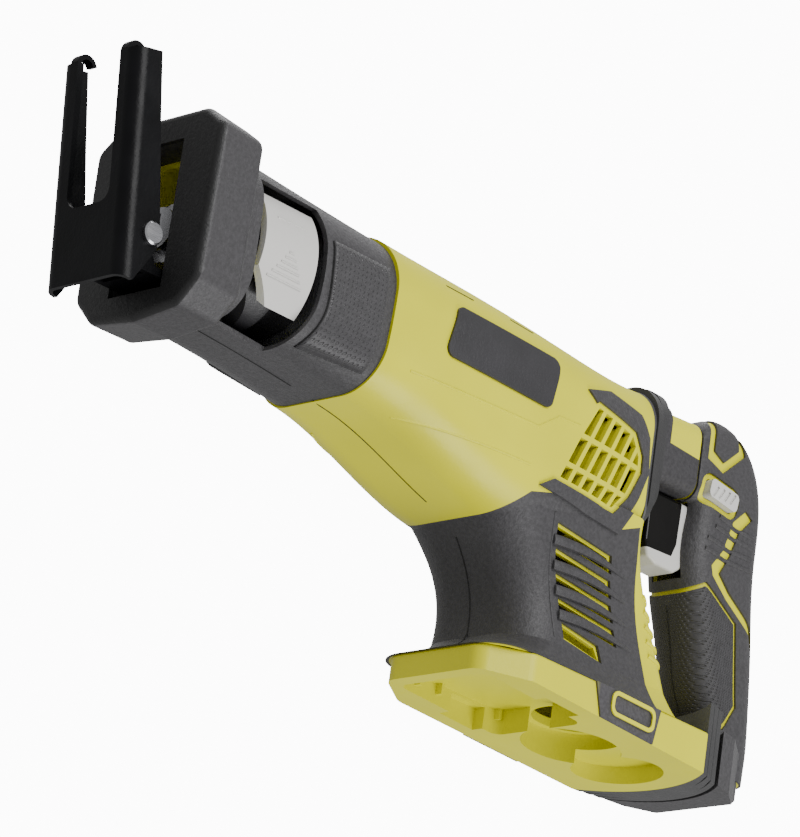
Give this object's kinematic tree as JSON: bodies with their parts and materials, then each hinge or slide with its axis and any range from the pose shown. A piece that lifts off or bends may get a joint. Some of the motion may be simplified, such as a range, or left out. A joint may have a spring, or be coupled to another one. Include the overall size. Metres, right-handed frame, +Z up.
{
  "type": "cordless reciprocating saw",
  "caption": "Cordless reciprocating saw with pivoting shoe, blade lever, moving plunger, geared motor, trigger, lock button and isolated D-handle; battery not fitted.",
  "frame": {"origin": "middle of the bounding box in plan, at the lowest point of the handle's foot and base", "axes": "-X is the blade end, -Y the user's left side, +Z up; the barrel's axis runs along X at 143.6 mm"},
  "size_m": [0.4407, 0.0874, 0.2088],
  "materials": {
    "lime_plastic": "satin moulded",
    "grey_overmould": "fine grained",
    "dark_plastic": "matt",
    "light_plastic": "satin",
    "black_gloss": "glossy",
    "shoe_steel": "black satin coating",
    "steel": "machined",
    "cast_alloy": "die cast",
    "bronze": "sintered",
    "bellows_rubber": "matt",
    "copper": "drawn"
  },
  "bodies": {
    "housing": {"motor_housing_left": "lime_plastic", "motor_housing_right": "lime_plastic", "neck_core_left": "lime_plastic", "neck_core_right": "lime_plastic", "neck_skin_left": "grey_overmould", "neck_skin_right": "grey_overmould", "front_boot_left": "grey_overmould", "front_boot_right": "grey_overmould", "nose_guard": "grey_overmould", "nose_liner": "lime_plastic", "front_sleeve": "dark_plastic", "shoe_bracket": "shoe_steel", "badges": "dark_plastic", "vent_grilles": "lime_plastic", "vent_frames": "grey_overmould", "rear_cover": "bellows_rubber", "gear_casing": "cast_alloy", "gear_cover": "cast_alloy", "front_bush": "bronze", "rear_bush": "bronze", "gear_post": "steel", "motor_can": "steel", "field_magnets": "dark_plastic", "motor_end_bell": "dark_plastic", "carbon_brushes": "black_gloss", "motor_bearings": "steel", "battery_base": "lime_plastic", "base_plaques": "grey_overmould", "contact_block": "dark_plastic", "contact_blades": "copper", "bellows_upper": "grey_overmould", "bellows_lower": "bellows_rubber", "isolator_block": "bellows_rubber", "case_screws": "steel"},
    "handle": {"handle_shell_left": "lime_plastic", "handle_shell_right": "lime_plastic", "handle_skin_left": "grey_overmould", "handle_skin_right": "grey_overmould", "palm_panel": "grey_overmould", "handle_top_inset": "grey_overmould", "handle_tongue": "dark_plastic", "switch_body": "dark_plastic"},
    "trigger": {"trigger_body": "light_plastic", "trigger_pad": "black_gloss"},
    "lock": {"lock_button": "light_plastic"},
    "shoe": {"shoe": "shoe_steel", "shoe_pin": "steel"},
    "lever": {"blade_lever": "light_plastic"},
    "plunger": {"yoke": "steel", "plunger_rod": "steel", "blade_clamp": "steel"},
    "collar": {"clamp_collar": "steel"},
    "armature": {"armature_shaft": "steel", "armature_core": "steel", "armature_windings": "copper", "commutator": "copper", "fan": "dark_plastic", "pinion": "steel"},
    "gear": {"drive_gear": "steel", "crank_pin": "steel"}
  },
  "joints": [
    {"name": "handle_float", "type": "slide", "parent": "housing", "child": "handle", "axis": [1, 0, 0], "range_m": [-0.0015, 0.0015], "stiffness_N_per_m": 8000},
    {"name": "trigger_pull", "type": "slide", "parent": "handle", "child": "trigger", "axis": [1, 0, 0], "range_m": [0, 0.006], "stiffness_N_per_m": 900, "springref_m": -0.004},
    {"name": "lock_slide", "type": "slide", "parent": "handle", "child": "lock", "axis": [0, 1, 0], "range_m": [0, 0.004]},
    {"name": "shoe_pivot", "type": "hinge", "parent": "housing", "child": "shoe", "pos_m": [-0.19684, 0, 0.1276], "axis": [0, 1, 0], "range_deg": [-25, 14]},
    {"name": "lever_turn", "type": "hinge", "parent": "housing", "child": "lever", "pos_m": [-0.12784, 0, 0.1436], "axis": [1, 0, 0], "range_deg": [0, 22], "stiffness_Nm_per_rad": 0.5, "springref_deg": -17.19},
    {"name": "plunger_slide", "type": "slide", "parent": "housing", "child": "plunger", "axis": [1, 0, 0], "range_m": [-0.011, 0.011]},
    {"name": "collar_turn", "type": "hinge", "parent": "plunger", "child": "collar", "pos_m": [-0.15984, 0, 0.1436], "axis": [1, 0, 0], "range_deg": [0, 22]},
    {"name": "gear_spin", "type": "hinge", "parent": "housing", "child": "gear", "pos_m": [-0.03784, 0, 0.1436], "axis": [0, 0, 1], "continuous": true},
    {"name": "armature_spin", "type": "hinge", "parent": "housing", "child": "armature", "pos_m": [0.00216, 0, 0.1436], "axis": [1, 0, 0], "continuous": true}
  ],
  "couplings": [
    {"joint": "collar_turn", "follows": "lever_turn", "ratio": 1},
    {"joint": "armature_spin", "follows": "gear_spin", "ratio": 3.0769}
  ]
}
